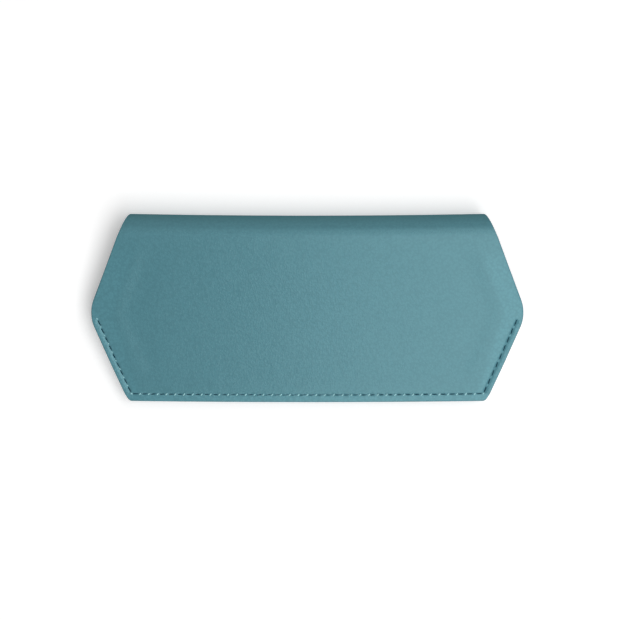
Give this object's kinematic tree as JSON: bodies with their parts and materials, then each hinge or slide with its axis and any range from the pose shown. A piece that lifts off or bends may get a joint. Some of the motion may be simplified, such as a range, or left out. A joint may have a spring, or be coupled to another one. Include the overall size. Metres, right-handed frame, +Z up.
{
  "type": "eyeglasses case",
  "caption": "Soft leather eyeglasses case with hexagonal panels, a flap that turns over at a rolled fold, a raised inner pocket, magnetic closure and stitched lower edges.",
  "frame": {"origin": "on the table under the middle of the closed case", "axes": "+X along the fold, +Y from the stitched edge towards the fold, +Z up out of the flap"},
  "size_m": [0.1732, 0.0759, 0.017],
  "materials": {
    "outer_leather": "smooth dyed calf leather with a soft sheen",
    "inner_leather": "thin dyed leather, flatter than the outside",
    "lining": "brushed microfibre",
    "board": "pressed fibreboard",
    "magnet": "nickel plated",
    "thread": "waxed thread"
  },
  "bodies": {
    "back": {"back_leather": "outer_leather", "back_board": "board", "back_lining": "lining", "back_bobbin_thread": "thread", "pocket_lining": "lining", "pocket_board": "board", "pocket_magnet_left": "magnet", "pocket_magnet_right": "magnet", "pocket_leather": "inner_leather", "pocket_needle_thread": "thread", "fold_leather_lower": "outer_leather", "fold_lining_lower": "lining"},
    "spine": {"fold_leather_middle": "outer_leather", "fold_lining_middle": "lining"},
    "flap": {"fold_leather_upper": "outer_leather", "fold_lining_upper": "lining", "flap_leather": "outer_leather", "flap_board": "board", "flap_magnet_left": "magnet", "flap_magnet_right": "magnet", "flap_lining": "lining", "flap_facing": "inner_leather", "flap_needle_thread": "thread", "flap_bobbin_thread": "thread"}
  },
  "joints": [
    {"name": "fold_lower_bend", "type": "hinge", "parent": "back", "child": "spine", "pos_m": [0, 0.03525, 0.0028], "axis": [-1, 0, 0], "range_deg": [0, 80], "deforming": ["fold_leather_lower", "fold_lining_lower"]},
    {"name": "fold_upper_bend", "type": "hinge", "parent": "spine", "child": "flap", "pos_m": [0, 0.03446, 0.01491], "axis": [-1, 0, 0], "range_deg": [0, 80], "deforming": ["fold_leather_upper", "fold_lining_upper"]}
  ],
  "couplings": [
    {"joint": "fold_upper_bend", "follows": "fold_lower_bend", "ratio": 1}
  ]
}
